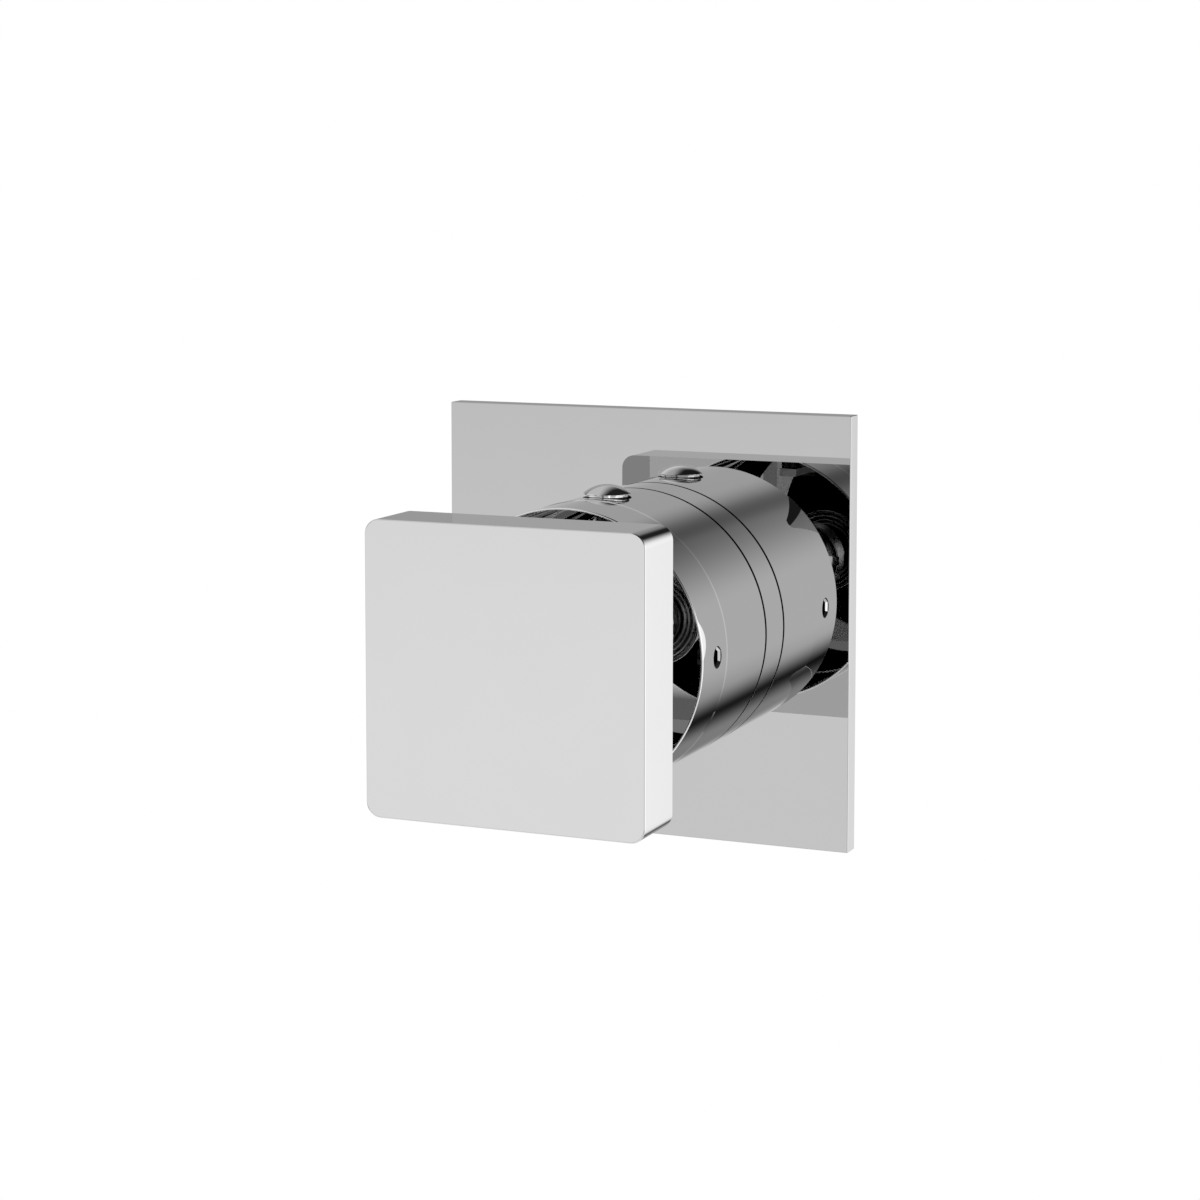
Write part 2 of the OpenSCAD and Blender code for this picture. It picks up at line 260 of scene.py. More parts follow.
def paintedShadeFloorFinish(name, stops, rough):
    # polished, with painted shade by height on the piece; stops are (height in mm, grey)
    finish, tree, shader = newFinish(name)
    shader.inputs["Metallic"].default_value = 1
    spot = tree.nodes.new("ShaderNodeTexCoord")
    parts = tree.nodes.new("ShaderNodeSeparateXYZ")
    tree.links.new(spot.outputs["Object"], parts.inputs["Vector"])
    ramp = tree.nodes.new("ShaderNodeValToRGB")
    reach = 25
    height = remap(tree, parts.outputs["Z"], 0, 1, -reach * mm, reach * mm)
    tree.links.new(height, ramp.inputs["Fac"])
    points = ramp.color_ramp.elements
    while len(points) < len(stops):
        points.new(0.5)
    for point, (level, grey) in zip(points, stops):
        point.position = (level + reach) / (2 * reach)
        point.color = (grey, grey, grey, 1)
    tree.links.new(ramp.outputs["Color"], shader.inputs["Base Color"])
    wipe = objectNoise(tree, 900, 4)
    tree.links.new(remap(tree, wipe, rough[0], rough[1]), shader.inputs["Roughness"])
    return finish


def machinedFinish(name, dark, light, rough, metal=1.0):
    # turned or drawn metal with fine tool marks
    finish, tree, shader = newFinish(name)
    shader.inputs["Metallic"].default_value = metal
    cloud = objectNoise(tree, 220, 4)
    tree.links.new(blendColours(tree, cloud, dark, light), shader.inputs["Base Color"])
    marks = objectNoise(tree, 1500, 3, (0.2, 3, 0.2))
    tree.links.new(remap(tree, marks, rough[0], rough[1]), shader.inputs["Roughness"])
    addBump(tree, shader, marks, 0.25, 0.00003)
    return finish


def mouldedFinish(name, dark, light, rough):
    finish, tree, shader = newFinish(name)
    cloud = objectNoise(tree, 180, 3)
    tree.links.new(blendColours(tree, cloud, dark, light), shader.inputs["Base Color"])
    skin = objectNoise(tree, 5200, 3)
    tree.links.new(remap(tree, skin, rough[0], rough[1]), shader.inputs["Roughness"])
    addBump(tree, shader, skin, 0.3, 0.00004)
    return finish


def foamFinish(name):
    finish, tree, shader = newFinish(name)
    cells = tree.nodes.new("ShaderNodeTexVoronoi")
    cells.inputs["Scale"].default_value = 2600
    spot = tree.nodes.new("ShaderNodeTexCoord")
    tree.links.new(spot.outputs["Object"], cells.inputs["Vector"])
    pores = remap(tree, cells.outputs["Distance"], 0, 1, 0.0, 0.6)
    tree.links.new(blendColours(tree, pores, (0.012, 0.012, 0.013), (0.045, 0.045, 0.048)),
                   shader.inputs["Base Color"])
    shader.inputs["Roughness"].default_value = 0.9
    addBump(tree, shader, pores, 0.8, 0.00025)
    return finish


chromeKnob = polishedFinish("chromeKnob", (0.88, 0.88, 0.88), (0.006, 0.016))
chromeDrum = polishedFinish("chromeDrum", (0.89, 0.89, 0.89), (0.004, 0.01))
chromePlate = polishedFinish("chromePlate", (0.70, 0.70, 0.70), (0.004, 0.012))
# painted shade: the drum's floor is darker towards its top and bottom
floorMetalPaintedShade = paintedShadeFloorFinish("floorMetalPaintedShade", [(-15.5, 0.2), (-11.5, 0.95), (11.5, 0.95), (15.5, 0.45)],
                         (0.004, 0.01))
# painted highlight: a brighter copy of the drum's chrome for the rim's front round, so its band
# reads white
rimPaintedHighlight = polishedFinish("rimPaintedHighlight", (0.98, 0.98, 0.98), (0.01, 0.03))
# satin turned metal, its grey raised above the knob's chrome as a painted highlight on the tube's
# end rings
turnedChromePaintedHighlight = polishedFinish("turnedChromePaintedHighlight", (0.97, 0.97, 0.97), (0.25, 0.33))
brightSteel = polishedFinish("brightSteel", (0.9, 0.9, 0.9), (0.05, 0.1))
# near black steel, also used as painted shade in gaps, in the button's hole and under the button's
# cap
darkSteelAndPaintedShade = machinedFinish("darkSteelAndPaintedShade", (0.02, 0.02, 0.02), (0.03, 0.03, 0.03), (0.3, 0.42))
castZinc = machinedFinish("castZinc", (0.62, 0.62, 0.62), (0.72, 0.72, 0.72), (0.5, 0.65),
                          metal=0.3)
satinNickel = machinedFinish("satinNickel", (0.56, 0.555, 0.55), (0.64, 0.635, 0.63), (0.12, 0.2))
plainSteel = machinedFinish("plainSteel", (0.50, 0.50, 0.51), (0.62, 0.62, 0.63), (0.2, 0.34))
turnedBrass = machinedFinish("turnedBrass", (0.70, 0.51, 0.23), (0.76, 0.56, 0.27), (0.2, 0.3))
mouldedNylon = mouldedFinish("mouldedNylon", (0.74, 0.72, 0.66), (0.82, 0.80, 0.75), (0.38, 0.5))
blackRubber = mouldedFinish("blackRubber", (0.012, 0.012, 0.013), (0.03, 0.03, 0.032), (0.5, 0.65))
closedFoam = foamFinish("closedFoam")
print("finishes ready")


# wall plate

wallPlate = {"side": 100.0, "thick": 4.8, "edge": 0.2, "pocketEdge": 3.0, "pocketDeep": 2.0,
             "recess": 27.0, "web": 1.4, "bore": 18.5, "cutTo": 9}


def makeWallPlate(size):
    half = size["side"] / 2
    piece = block("wallPlate", (-half, -size["thick"], -half), (half, 0, half))
    pickFaces(piece, lambda c, n: n.y > 0.9)
    bpy.ops.mesh.inset(thickness=size["pocketEdge"] * mm, depth=0)
    bpy.ops.mesh.extrude_region_move(
        TRANSFORM_OT_translate={"value": (0, -size["pocketDeep"] * mm, 0)})
    # the four outer corners and the front's outline
    pickEdges(piece, lambda a, b: min(a.y, b.y) < -0.8 * size["thick"] and
              min(abs(a.x), abs(a.z), abs(b.x), abs(b.z)) > half - 1)
    bpy.ops.mesh.bevel(offset=size["edge"] * mm, segments=3)
    clearSelection()
    deep = size["thick"] - size["web"]
    for radius, far in ((size["recess"], deep), (size["bore"], size["cutTo"])):
        cut(piece, turned("roundTool", [(radius, -1), (radius, far)], closed=False, sides=192))
    smooth(piece)
    return place(piece, chromePlate, "chrome", "base", "wall_plate")


makeWallPlate(wallPlate)
print("wall plate made")


# collar and drum

drum = {"radius": 32.2, "ringRadius": 32.06, "inside": 31.6, "lap": 31.9, "lapLong": 2.5,
        "collarInside": 29.3, "front": 4.8, "collarEnd": 10.4, "floorBack": 11.3,
        "floorFront": 13.9, "stemHole": 8.4, "seam": 35.7, "rim": 50.5, "corner": 0.25,
        "button": 27.3, "buttonHole": 5.5, "screw": 41.6, "screwHole": 2.47, "edge": 0.1,
        "slotWide": 5.0, "slotLow": 22.4, "slotHigh": 26.2, "besideButton": (21.4, 33.1),
        "besideScrew": (38.9, 44.3), "rimRound": 0.34, "rimDeep": 0.3, "rimInner": 0.06}
throughShell = (20, 40)  # how far a cutter reaches that passes the drum's shell


def makeCollar(size):
    outline = [(size["collarInside"], size["front"]), (size["radius"], size["front"])]
    edge = size["edge"]
    outline += arc(size["radius"] - edge, size["collarEnd"] - edge, edge, 0, 90, 4)
    outline += [(size["collarInside"], size["collarEnd"])]
    piece = turned("wallCollar", outline)
    smooth(piece)
    place(piece, chromeDrum, "chrome", "base", "collar")
    # painted shade: the collar's front face, in the gap to the drum, is painted near black
    repaint(piece, darkSteelAndPaintedShade, lambda c, n: n.y < -0.3)
    return piece


def makeSleeve(size):
    corner = size["corner"]
    outline = [(size["stemHole"], size["floorBack"])]
    edge = size["edge"]
    outline += arc(size["radius"] - edge, size["floorBack"] + edge, edge, -90, 0, 4)
    # the edges beside the button's hole keep the shading true round it
    near, far = size["besideButton"]
    outline += [(size["radius"], near), (size["radius"], far)]
    outline += [(size["radius"], size["seam"]), (size["lap"], size["seam"]),
                (size["lap"], size["seam"] - size["lapLong"]),
                (size["inside"], size["seam"] - size["lapLong"]), (size["inside"], near)]
    outline += arc(size["inside"] - corner, size["floorFront"] + corner, corner, 0, -90, 6)
    outline += [(size["stemHole"], size["floorFront"])]
    piece = turned("drumSleeve", outline)
    cut(piece, turned("buttonTool", [(size["buttonHole"], end) for end in throughShell], "up",
                      (0, -size["button"], 0), sides=128, closed=False))
    half = size["slotWide"] / 2
    cut(piece, block("slotTool", (-half, -size["floorFront"] - 1, size["slotLow"]),
                     (half, -size["floorBack"] + 1, size["slotHigh"])))
    smooth(piece, 25)
    place(piece, chromeDrum, "chrome", "drum", "drum_sleeve")
    # painted shade on the drum's floor, darker towards its top and bottom
    repaint(piece, floorMetalPaintedShade, lambda c, n: n.y < -0.9 and c.y > -size["floorFront"] - 0.1)
    # painted shade: the sleeve's rear face, in the gap to the collar, and the wall of the button's
    # hole are painted near black
    hole = size["buttonHole"] + 0.1
    repaint(piece, darkSteelAndPaintedShade, lambda c, n: (n.y > 0.3 and c.y > -size["floorBack"] - edge) or
            (c.z > 28 and abs(n.z) < 0.5 and math.hypot(c.x, c.y + size["button"]) < hole))
    return piece


def makeRing(size):
    near, far = size["besideScrew"]
    wide, deep, inner = size["rimRound"], size["rimDeep"], size["rimInner"]
    outline = [(size["inside"], size["seam"] - size["lapLong"]),
               (size["lap"], size["seam"] - size["lapLong"]), (size["lap"], size["seam"]),
               (size["ringRadius"], size["seam"]), (size["ringRadius"], near),
               (size["ringRadius"], far), (size["ringRadius"], size["rim"] - deep)]
    steps = 8
    for i in range(1, steps + 1):  # the rim is rounded outwards
        a = math.radians(90 * i / steps)
        outline.append((size["ringRadius"] - wide + wide * math.cos(a),
                        size["rim"] - deep + deep * math.sin(a)))
    outline += arc(size["inside"] + inner, size["rim"] - inner, inner, 90, 180, 4)
    outline += [(size["inside"], far), (size["inside"], near)]
    piece = turned("drumRing", outline)
    cut(piece, turned("screwTool", [(size["screwHole"], end) for end in throughShell], "right",
                      (0, -size["screw"], 0), sides=96, closed=False))
    smooth(piece, 25)
    place(piece, chromeDrum, "chrome", "drum", "drum_ring")
    # painted highlight: the rim's front round gets the brighter copy of the chrome
    repaint(piece, rimPaintedHighlight, lambda c, n: n.y < -0.1 and c.y < -size["rim"] + deep)
    return piece


makeCollar(drum)
makeSleeve(drum)
makeRing(drum)
print("collar and drum made")


# side screw

sideScrew = {"radius": 2.45, "low": 28.2, "high": 34.0, "key": 3.5, "socket": 1.9, "sunk": 0.15,
             "chamfer": 0.5, "flare": 0.38, "keyTool": 6, "shellCut": (30, 60), "shellOut": 36}


def makeSideScrew(size):
    outline = [(size["radius"], size["low"]), (size["radius"], size["high"])]
    piece = turned("sideScrew", outline, "right", (0, -drum["screw"], 0), sides=96, closed=False)
    # its head follows the ring's round
    reach = drum["ringRadius"] - size["sunk"]
    near, far = size["shellCut"]
    cut(piece, turned("headTool", [(reach, near), (reach, far), (size["shellOut"], far),
                                   (size["shellOut"], near)]))
    across = size["key"] / math.cos(math.pi / 6)
    clearSelection()
    bpy.ops.mesh.primitive_cylinder_add(
        vertices=6, radius=across / 2 * mm, depth=size["keyTool"] * mm,
        location=((drum["ringRadius"] - size["socket"] + size["keyTool"] / 2) * mm,
                  -drum["screw"] * mm, 0))
    key = bpy.context.object
    key.rotation_euler = (math.pi / 2, 0, math.pi / 2)
    settle(key)
    cut(piece, key)
    # the hexagon opens outwards with a fine chamfer
    clearSelection()
    bpy.ops.mesh.primitive_cone_add(
        vertices=6, radius1=across / 2 * mm, radius2=(across / 2 + 2 * size["flare"]) * mm,
        depth=2 * size["chamfer"] * mm, location=(reach * mm, -drum["screw"] * mm, 0))
    flare = bpy.context.object
    flare.rotation_euler = (math.pi / 2, 0, math.pi / 2)
    settle(flare)
    cut(piece, flare)
    smooth(piece)
    place(piece, darkSteelAndPaintedShade, "steel", "drum", "set_screw")
    repaint(piece, brightSteel, lambda c, n: 0.3 < n.x < 0.93 and c.x > 31 and
            math.hypot(c.y + drum["screw"], c.z) < size["radius"])
    return piece


makeSideScrew(sideScrew)
print("side screw made")


# button

button = {"radius": 5.35, "low": 32.63, "edge": 0.25, "rise": 1.95, "pin": 1.6, "pinTop": 33.83,
          "skirt": 4.75, "skirtIn": 4.1, "skirtLow": 31.03, "bright": 0.42,
          "hem": 0.07, "hemTop": 0.05, "pinHole": 1.2,
          "stem": 2.5, "armTop": 26.0, "armLow": 23.9, "armWide": 4.6, "armBack": 8.9,
          "armFront": 29.9, "guide": 7.0, "guideLow": 28.8, "guideFloor": 29.6, "guideTop": 33,
          "guideHole": 5.5, "guideBore": 2.58, "groove": 1.9, "grooveLow": 0.75, "grooveHigh": 0.1,
          "wire": 0.3, "coil": 3.6, "turns": 3, "travel": 1.3}


def makeButtonCap(size):
    r = size["radius"]
    ball = (r * r + size["rise"] ** 2) / (2 * size["rise"])
    crown = size["low"] + size["edge"] + size["rise"] - ball
    outline = [(size["pin"], size["low"] + size["pinHole"]), (size["pin"], size["low"]),
               (size["skirtIn"], size["low"]),
               (size["skirtIn"], size["skirtLow"]), (size["skirt"], size["skirtLow"]),
               (size["skirt"], size["low"] - size["bright"]), (size["skirt"], size["low"]),
               (r - size["hem"], size["low"])]
    outline += [(r, size["low"] + size["hem"]), (r, size["low"] + size["edge"] - size["hemTop"])]
    steps = 30
    reach = math.asin(r / ball)
    for i in range(1, steps):
        a = reach * (1 - i / steps)
        outline.append((ball * math.sin(a), crown + ball * math.cos(a)))
    outline += [(nearAxis, crown + ball)]
    piece = turned("buttonCap", outline, "up", (0, -drum["button"], 0), sides=160, closed=False)
    smooth(piece, 35)
    place(piece, chromeDrum, "chrome", "button", "button_cap")
    # painted shade: the cap's underside and its skirt below the chrome band are painted near black
    repaint(piece, darkSteelAndPaintedShade, lambda c, n: n.z < -0.9 or c.z < size["low"] - size["bright"])
    return piece


def makeButtonStem(size):
    grooveLow = size["guideLow"] - size["grooveLow"]
    grooveHigh = size["guideLow"] - size["grooveHigh"]
    outline = [(size["stem"], size["armTop"]), (size["stem"], grooveLow),
               (size["groove"], grooveLow), (size["groove"], grooveHigh),
               (size["stem"], grooveHigh), (size["stem"], size["low"]),
               (size["pin"], size["low"]), (size["pin"], size["pinTop"])]
    piece = turned("buttonStem", outline, "up", (0, -drum["button"], 0), sides=96, closed=False)
    soften(piece, 0.06, 2)
    smooth(piece)
    return place(piece, darkSteelAndPaintedShade, "steel", "button", "button_stem")


def makeButtonGuide(size):
    outline = [(size["guideBore"], size["guideLow"]), (size["guide"], size["guideLow"]),
               (size["guide"], size["guideTop"]), (size["guideHole"], size["guideTop"]),
               (size["guideHole"], size["guideFloor"]), (size["guideBore"], size["guideFloor"])]
    piece = turned("buttonGuide", outline, "up", (0, -drum["button"], 0), sides=128)
    # its top is fitted to the round inside of the sleeve
    inside = turned("fitTool", [(drum["inside"], 15), (drum["inside"], 40)], closed=False)
    useModifier(piece, "BOOLEAN", operation="INTERSECT", solver="EXACT", object=inside)
    bpy.data.objects.remove(inside)
    smooth(piece)
    # painted shade: the guide is near black so the slit under the cap stays dark
    return place(piece, darkSteelAndPaintedShade, "steel", "drum", "button_guide")


def makeButtonSpring(size):
    clearSelection()
    bpy.ops.mesh.primitive_circle_add(
        vertices=16, radius=size["wire"] * mm, fill_type="NGON",
        location=(size["coil"] * mm, 0, 0), rotation=(math.pi / 2, 0, 0))
    piece = bpy.context.object
    piece.name = piece.data.name = "buttonSpring"
    settle(piece)
    low = size["guideFloor"] + size["wire"]
    high = size["low"] - size["wire"]
    useModifier(piece, "SCREW", axis="Z", angle=2 * math.pi, iterations=size["turns"], steps=56,
                render_steps=56, screw_offset=(high - low) / size["turns"] * mm,
                use_normal_calculate=True, use_smooth_shade=True)
    piece.location = (0, -drum["button"] * mm, low * mm)
    settle(piece)
    bpy.ops.object.mode_set(mode="EDIT")
    bpy.ops.mesh.select_mode(type="VERT")
    bpy.ops.mesh.select_all(action="SELECT")
    bpy.ops.mesh.remove_doubles(threshold=1e-7)
    bpy.ops.mesh.normals_make_consistent(inside=False)
    smooth(piece)
    # painted shade: the spring is near black so the slit under the cap stays dark
    place(piece, darkSteelAndPaintedShade, "steel", "drum", "button_spring")
    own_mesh(piece)
    return piece


def makeLatchArm(size):
    half = size["armWide"] / 2
    piece = block("latchArm", (-half, -size["armFront"], size["armLow"]),
                  (half, -size["armBack"], size["armTop"]))
    soften(piece, 0.2)
    smooth(piece)
    return place(piece, castZinc, "steel", "button", "latch_arm")


makeButtonCap(button)
makeButtonStem(button)
makeButtonGuide(button)
makeButtonSpring(button)
makeLatchArm(button)
print("button made")


# strip behind the side screw, nut and spindle inside the drum

inner = {"tabDeep": 2.0, "tabHalf": 4.5, "tabBack": 26.7, "tabFront": 45.8,
         "nutIn": 8.0, "nutOut": 9.9, "nutLong": 3.0, "lip": 5.96, "lipThick": 0.8, "nutSlot": 2.4,
         "nutEdge": 0.3, "rear": 6.9, "bore": 3.5, "boreEnd": 18.9, "neck": 5.9, "neckEdge": 0.4,
         "step": 17.3, "stepEdge": 0.5, "thick": 7.0, "end": 63.85}


def makeFixingTab(size):
    deep = drum["inside"] - size["tabDeep"]
    piece = turned("fixingTab", [(deep, size["tabBack"]), (drum["inside"], size["tabBack"]),
                                 (drum["inside"], size["tabFront"]), (deep, size["tabFront"])])
    wide = size["tabHalf"]
    strip = block("stripTool", (20, -60, -wide), (40, -20, wide))
    useModifier(piece, "BOOLEAN", operation="INTERSECT", solver="EXACT", object=strip)
    bpy.data.objects.remove(strip)
    soften(piece, 0.15, 2)
    cut(piece, turned("threadTool", [(sideScrew["radius"], end) for end in throughShell], "right",
                      (0, -drum["screw"], 0), sides=96, closed=False))
    smooth(piece)
    return place(piece, darkSteelAndPaintedShade, "steel", "drum", "fixing_tab")


def makeStemNut(size):
    low = drum["floorFront"]
    top = low + size["nutLong"]
    outline = [(size["nutIn"], low), (size["nutOut"], low)]
    edge = size["nutEdge"]
    outline += arc(size["nutOut"] - edge, top - edge, edge, 0, 90, 4)
    outline += [(size["lip"], top), (size["lip"], top - size["lipThick"]),
                (size["nutIn"], top - size["lipThick"])]
    piece = turned("stemNut", outline, sides=192)
    half = size["nutSlot"] / 2
    reach = 1.2 * size["nutOut"]
    cut(piece, block("slotTool", (-reach, -top - 1, -half), (reach, -top + 1, half)))
    cut(piece, block("slotTool", (-half, -top - 1, -reach), (half, -top + 1, reach)))
    smooth(piece)
    return place(piece, satinNickel, "steel", "drum", "stem_nut")


def makeFlowSpindle(size):
    neckEdge, stepEdge = size["neckEdge"], size["stepEdge"]
    outline = [(nearAxis, size["boreEnd"]), (size["bore"], size["boreEnd"]),
               (size["bore"], size["rear"]), (size["neck"] - neckEdge, size["rear"]),
               (size["neck"], size["rear"] + neckEdge), (size["neck"], size["step"]),
               (size["thick"] - stepEdge, size["step"]), (size["thick"], size["step"] + stepEdge),
               (size["thick"], size["end"]), (nearAxis, size["end"])]
    piece = turned("flowSpindle", outline, sides=160, closed=False)
    smooth(piece)
    return place(piece, satinNickel, "brass", "knob", "flow_spindle")


makeFixingTab(inner)
makeStemNut(inner)
makeFlowSpindle(inner)
print("inner pieces made")


# knob

knob = {"side": 64.0, "rear": 67.85, "front": 83.05, "corner": 3.3, "edge": 0.25, "wall": 2.5,
        "backThick": 3.0, "tube": 11.15, "tubeRear": 28.9, "lining": 9.15, "bore": 7.0,
        "liningLong": 7.0, "liningGap": 0.05, "bead": 8.2, "edgeRound": 0.45, "edgeFlat": 0.2,
        "edgeBack": 0.5, "flange": 16, "flangeThick": 2.4, "screw": 58.85, "screwHole": 2.5,
        "tubeCut": (60, 80), "screwCut": (6, 14)}


def makeKnobShell(size):
    half = size["side"] / 2
    piece = block("knobShell", (-half, -size["front"], -half), (half, -size["rear"], half))
    pickEdges(piece, lambda a, b: abs(a.y - b.y) > 1)
    bpy.ops.mesh.bevel(offset=size["corner"] * mm, segments=20)
    pickFaces(piece, lambda c, n: n.y < -0.9)
    bpy.ops.mesh.region_to_loop()
    bpy.ops.mesh.bevel(offset=size["edge"] * mm, segments=4)
    pickFaces(piece, lambda c, n: n.y > 0.9)
    bpy.ops.mesh.inset(thickness=size["wall"] * mm, depth=0)
    deep = size["front"] - size["rear"] - size["wall"]
    bpy.ops.mesh.extrude_region_move(TRANSFORM_OT_translate={"value": (0, -deep * mm, 0)})
    smooth(piece)
    return place(piece, chromeKnob, "chrome", "knob", "knob_shell")


def makeKnobBack(size):
    half = size["side"] / 2 - size["wall"]
    piece = block("knobBack", (-half, -size["rear"] - size["backThick"], -half),
                  (half, -size["rear"], half))
    pickEdges(piece, lambda a, b: abs(a.y - b.y) > 1)
    bpy.ops.mesh.bevel(offset=(size["corner"] - size["wall"]) * mm, segments=8)
    clearSelection()
    cut(piece, turned("tubeTool", [(size["tube"], end) for end in size["tubeCut"]], closed=False,
                      sides=192))
    smooth(piece)
    return place(piece, chromeKnob, "chrome", "knob", "knob_back")


def makeKnobTube(size):
    r = size["tube"]
    liningEnd = size["tubeRear"] + size["liningLong"]
    outline = [(size["bore"], inner["end"]), (size["bore"], liningEnd), (size["lining"], liningEnd)]
    edge = size["edgeRound"]
    outline += bead(size["lining"], r - edge - size["edgeFlat"], size["tubeRear"])
    outline += arc(r - edge, size["tubeRear"] + size["edgeBack"] + edge, edge, -90, 0, 8)
    # the flange lies on the knob's back
    seat = size["rear"] + size["backThick"]
    outline += [(r, seat), (size["flange"], seat), (size["flange"], seat + size["flangeThick"])]
    piece = turned("knobTube", outline, closed=False)
    cut(piece, turned("screwTool", [(size["screwHole"], end) for end in size["screwCut"]], "down",
                      (0, -size["screw"], 0), sides=64, closed=False))
    smooth(piece, 35)
    place(piece, chromeKnob, "chrome", "knob", "knob_tube")
    # the tube's rear end is satin turned metal, with a painted highlight from its raised grey
    repaint(piece, turnedChromePaintedHighlight, lambda c, n: c.y > -size["tubeRear"] - 1)
    return piece


def makeTubeBush(size):
    rear = size["tubeRear"]
    outside = size["lining"] - size["liningGap"]
    outline = bead(size["bore"], size["bead"], rear) + bead(size["bead"], outside, rear)[1:]
    outline += [(outside, rear + size["liningLong"]), (size["bore"], rear + size["liningLong"])]
    piece = turned("tubeBush", outline)
    smooth(piece, 35)
    # satin turned metal, with a painted highlight from its raised grey
    return place(piece, turnedChromePaintedHighlight, "steel", "knob", "tube_bush")


makeKnobShell(knob)
makeKnobBack(knob)
makeKnobTube(knob)
makeTubeBush(knob)
print("knob made")


# pieces kept from the frame: each gets its own finish

keptFinish = {
    "plate_gasket": closedFoam, "mount_bush": turnedBrass, "back_nut": turnedBrass,
    "plate_oring": blackRubber, "stop_ring": mouldedNylon, "stop_screws": plainSteel,
    "bearing_ring": mouldedNylon, "temp_hub": turnedBrass, "hub_screws": plainSteel,
    "spline_insert": plainSteel, "button_clip": plainSteel, "flange_screws": plainSteel,
    "knob_set_screw": plainSteel}

for nodeName, finish in keptFinish.items():
    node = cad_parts[nodeName]
    node.data.materials.clear()
    node.data.materials.append(finish)
print("kept pieces dressed")


# studio: white to the camera, soft light to matt faces, soft cards with dark gaps to polished ones
# left, right, low and high are angles in degrees between which a card's edge fades

studio = {
    "base": 0.015,
    "cards": [
        {"left": (-100, -85), "right": (-7, 5), "low": (-45, -30), "high": (-12, 12),
         "shine": 0.28},
        {"left": (-110, -90), "right": (-11, 5), "low": (-21, -14), "high": (25, 60),
         "shine": 0.49},
        {"left": (1, 11), "right": (70, 90), "low": (-32, -12), "high": (5, 30),
         "shine": 0.6, "tilt": 0.167},
        {"left": (60, 85), "right": (140, 160), "low": (-75, -50), "high": (8, 24),
         "shine": 0.95},
        {"left": (-60, -44), "right": (-22, -6), "low": (-45, -28), "high": (0, 45),
         "shine": 0.9, "behind": True, "tilt": 0.25},
        {"left": (-4, 10), "right": (60, 90), "low": (-45, -25), "high": (10, 40),
         "shine": 0.32, "behind": True},
    ],
    "ceiling": {"side": (0.0, -0.4), "high": (0.4, 0.6), "shine": 0.5},
    "softLight": 0.95,
}


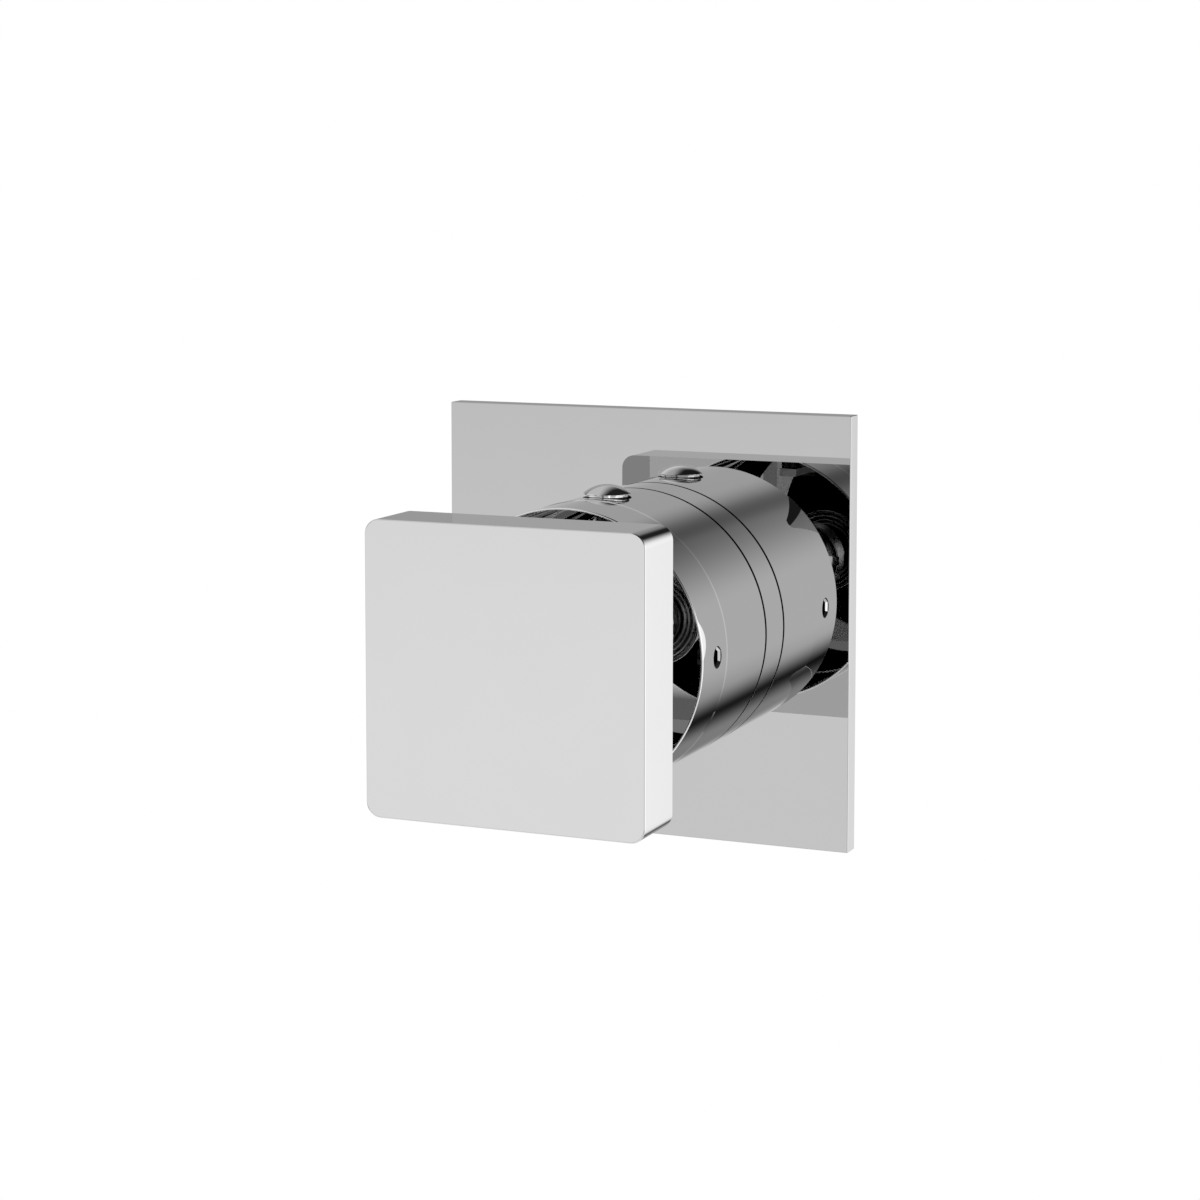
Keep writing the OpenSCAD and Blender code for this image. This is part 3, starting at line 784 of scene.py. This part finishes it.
def makeStudio(settings):
    world = bpy.data.worlds.new("studio")
    bpy.context.scene.world = world
    world.use_nodes = True
    tree = world.node_tree
    tree.nodes.clear()

    def calculate(operation, a, b):
        node = tree.nodes.new("ShaderNodeMath")
        node.operation = operation
        for value, socket in ((a, node.inputs[0]), (b, node.inputs[1])):
            if isinstance(value, (int, float)):
                socket.default_value = value
            else:
                tree.links.new(value, socket)
        return node.outputs["Value"]

    def ramp(value, start, end):
        node = tree.nodes.new("ShaderNodeMapRange")
        node.interpolation_type = "SMOOTHSTEP"
        node.inputs["From Min"].default_value = start
        node.inputs["From Max"].default_value = end
        tree.links.new(value, node.inputs["Value"])
        return node.outputs["Result"]

    def between(value, first, last):
        fallen = calculate("SUBTRACT", 1.0, ramp(value, *last))
        return calculate("MULTIPLY", ramp(value, *first), fallen)

    way = tree.nodes.new("ShaderNodeTexCoord")
    parts = tree.nodes.new("ShaderNodeSeparateXYZ")
    tree.links.new(way.outputs["Generated"], parts.inputs["Vector"])
    ahead = calculate("MULTIPLY", parts.outputs["Y"], -1.0)
    turnFront = calculate("DEGREES", calculate("ARCTAN2", parts.outputs["X"], ahead), 0.0)
    mirrored = calculate("MULTIPLY", parts.outputs["X"], -1.0)
    turnBack = calculate("DEGREES", calculate("ARCTAN2", mirrored, parts.outputs["Y"]), 0.0)
    rise = calculate("DEGREES", calculate("ARCSINE", parts.outputs["Z"], 0.0), 0.0)
    total = settings["base"]
    for card in settings["cards"]:
        turn = turnBack if card.get("behind") else turnFront
        if "tilt" in card:
            turn = calculate("ADD", turn, calculate("MULTIPLY", rise, card["tilt"]))
        wide = between(turn, card["left"], card["right"])
        tall = between(rise, card["low"], card["high"])
        glow = calculate("MULTIPLY", calculate("MULTIPLY", wide, tall), card["shine"])
        total = calculate("ADD", total, glow)
    ceiling = settings["ceiling"]
    above = calculate("MULTIPLY", ramp(parts.outputs["X"], *ceiling["side"]),
                      ramp(parts.outputs["Z"], *ceiling["high"]))
    total = calculate("ADD", total, calculate("MULTIPLY", above, ceiling["shine"]))
    ray = tree.nodes.new("ShaderNodeLightPath")
    seen = tree.nodes.new("ShaderNodeMix")
    seen.data_type = "FLOAT"
    tree.links.new(ray.outputs["Is Camera Ray"], seen.inputs["Factor"])
    tree.links.new(total, seen.inputs["A"])
    seen.inputs["B"].default_value = 1.0
    lit = tree.nodes.new("ShaderNodeMix")
    lit.data_type = "FLOAT"
    tree.links.new(ray.outputs["Is Diffuse Ray"], lit.inputs["Factor"])
    tree.links.new(seen.outputs["Result"], lit.inputs["A"])
    lit.inputs["B"].default_value = settings["softLight"]
    background = tree.nodes.new("ShaderNodeBackground")
    tree.links.new(lit.outputs["Result"], background.inputs["Color"])
    output = tree.nodes.new("ShaderNodeOutputWorld")
    tree.links.new(background.outputs["Background"], output.inputs["Surface"])


makeStudio(studio)


# floor and camera

floor = {"side": 3.0, "down": -0.9, "lift": 0.3}
clearSelection()
bpy.ops.mesh.primitive_plane_add(size=floor["side"], location=(0, 0, floor["down"]))
floorPlane = bpy.context.object
floorPlane.name = "floor"
settle(floorPlane)
paleFloor, floorTree, floorShader = newFinish("paleFloor")
floorShader.inputs["Base Color"].default_value = (0.86, 0.86, 0.86, 1)
floorShader.inputs["Roughness"].default_value = 0.8
# the camera alone sees it lifted to white, so no edge shows behind the set
floorRay = floorTree.nodes.new("ShaderNodeLightPath")
floorLift = floorTree.nodes.new("ShaderNodeMath")
floorLift.operation = "MULTIPLY"
floorLift.inputs[1].default_value = floor["lift"]
floorTree.links.new(floorRay.outputs["Is Camera Ray"], floorLift.inputs[0])
floorShader.inputs["Emission Color"].default_value = (1, 1, 1, 1)
floorTree.links.new(floorLift.outputs["Value"], floorShader.inputs["Emission Strength"])
floorPlane.data.materials.append(paleFloor)

camera = {"place": (0.24045, -0.59503, 0.10542), "turn": 23.181, "down": 5.202,
          "focal": 2760.3, "frame": 1200, "sensor": 36, "shiftX": 0.0031, "shiftY": -0.15}
lens = bpy.data.cameras.new("camera")
viewer = bpy.data.objects.new("camera", lens)
bpy.context.scene.collection.objects.link(viewer)
lens.sensor_width = camera["sensor"]
lens.lens = camera["focal"] / camera["frame"] * camera["sensor"]  # focal is in pixels
lens.shift_x = camera["shiftX"]
lens.shift_y = camera["shiftY"]
lens.clip_start = 0.01
viewer.location = camera["place"]
viewer.rotation_euler = (math.radians(90 - camera["down"]), 0, math.radians(camera["turn"]))
bpy.context.scene.camera = viewer
bpy.context.scene.view_settings.view_transform = "Standard"
print("studio ready")

clearSelection()
